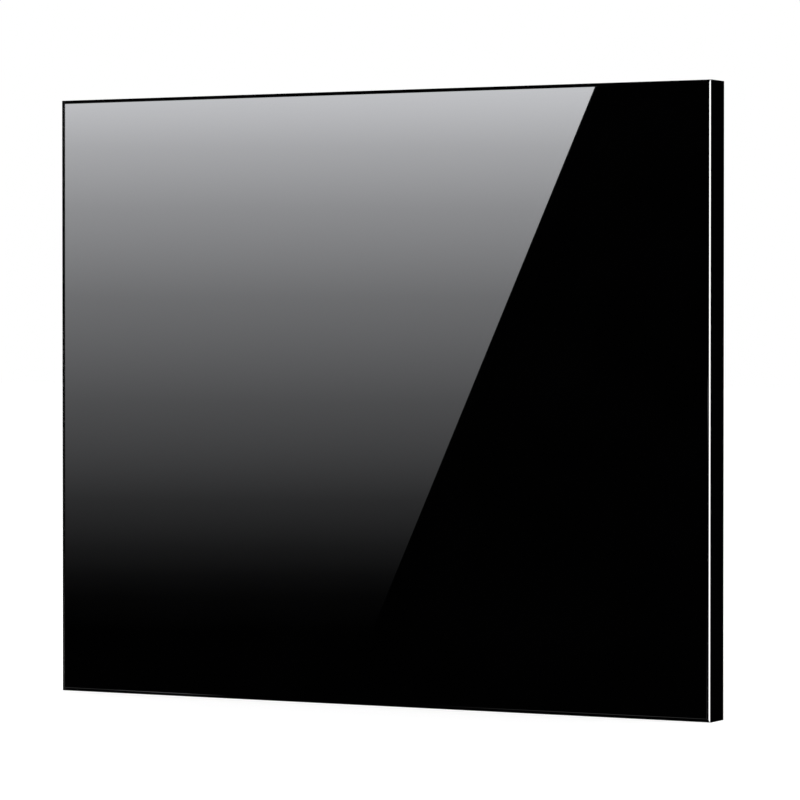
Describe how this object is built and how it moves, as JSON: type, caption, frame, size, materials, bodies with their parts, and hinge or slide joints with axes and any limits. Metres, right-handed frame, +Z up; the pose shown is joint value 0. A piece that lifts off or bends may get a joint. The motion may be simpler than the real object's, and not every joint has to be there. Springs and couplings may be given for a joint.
{
  "type": "kick plate",
  "caption": "Flat rectangular kick plate that sticks to the foot of a door: a thin gloss black faced board with banded edges and foam tape strips under release liners on its back.",
  "frame": {"origin": "centre of the back, on the outer face of the middle liner, in the plane that lies against the door", "axes": "+Y points back into the door, so the plate's front faces -Y; +X runs across the door to the right as seen from the front; +Z is up"},
  "size_m": [0.3, 0.0145, 0.25],
  "materials": {
    "face_acrylic": "mirror gloss black acrylic",
    "edge_band": "buffed gloss black edge band",
    "fibreboard": "raw through-dyed black fibreboard",
    "glue_line": "cured hot-melt glue",
    "backing_sheet": "fine-textured matt black",
    "foam_tape": "closed-cell dark grey foam",
    "liner_film": "smooth red film"
  },
  "bodies": {
    "board": {"face_sheet": "face_acrylic", "face_bond_film": "glue_line", "core_board": "fibreboard", "back_bond_film": "glue_line", "back_sheet": "backing_sheet", "top_edge_band": "edge_band", "right_edge_band": "edge_band", "bottom_edge_band": "edge_band", "left_edge_band": "edge_band", "foam_tape_1": "foam_tape", "foam_tape_2": "foam_tape", "foam_tape_3": "foam_tape", "foam_tape_4": "foam_tape", "foam_tape_5": "foam_tape"},
    "liner_1": {"release_liner_1": "liner_film"},
    "liner_2": {"release_liner_2": "liner_film"},
    "liner_3": {"release_liner_3": "liner_film"},
    "liner_4": {"release_liner_4": "liner_film"},
    "liner_5": {"release_liner_5": "liner_film"}
  },
  "joints": [
    {"name": "liner_1_lift", "type": "slide", "parent": "board", "child": "liner_1", "axis": [0, 1, 0], "range_m": [0, 0.04]},
    {"name": "liner_2_lift", "type": "slide", "parent": "board", "child": "liner_2", "axis": [0, 1, 0], "range_m": [0, 0.04]},
    {"name": "liner_3_lift", "type": "slide", "parent": "board", "child": "liner_3", "axis": [0, 1, 0], "range_m": [0, 0.04]},
    {"name": "liner_4_lift", "type": "slide", "parent": "board", "child": "liner_4", "axis": [0, 1, 0], "range_m": [0, 0.04]},
    {"name": "liner_5_lift", "type": "slide", "parent": "board", "child": "liner_5", "axis": [0, 1, 0], "range_m": [0, 0.04]}
  ]
}
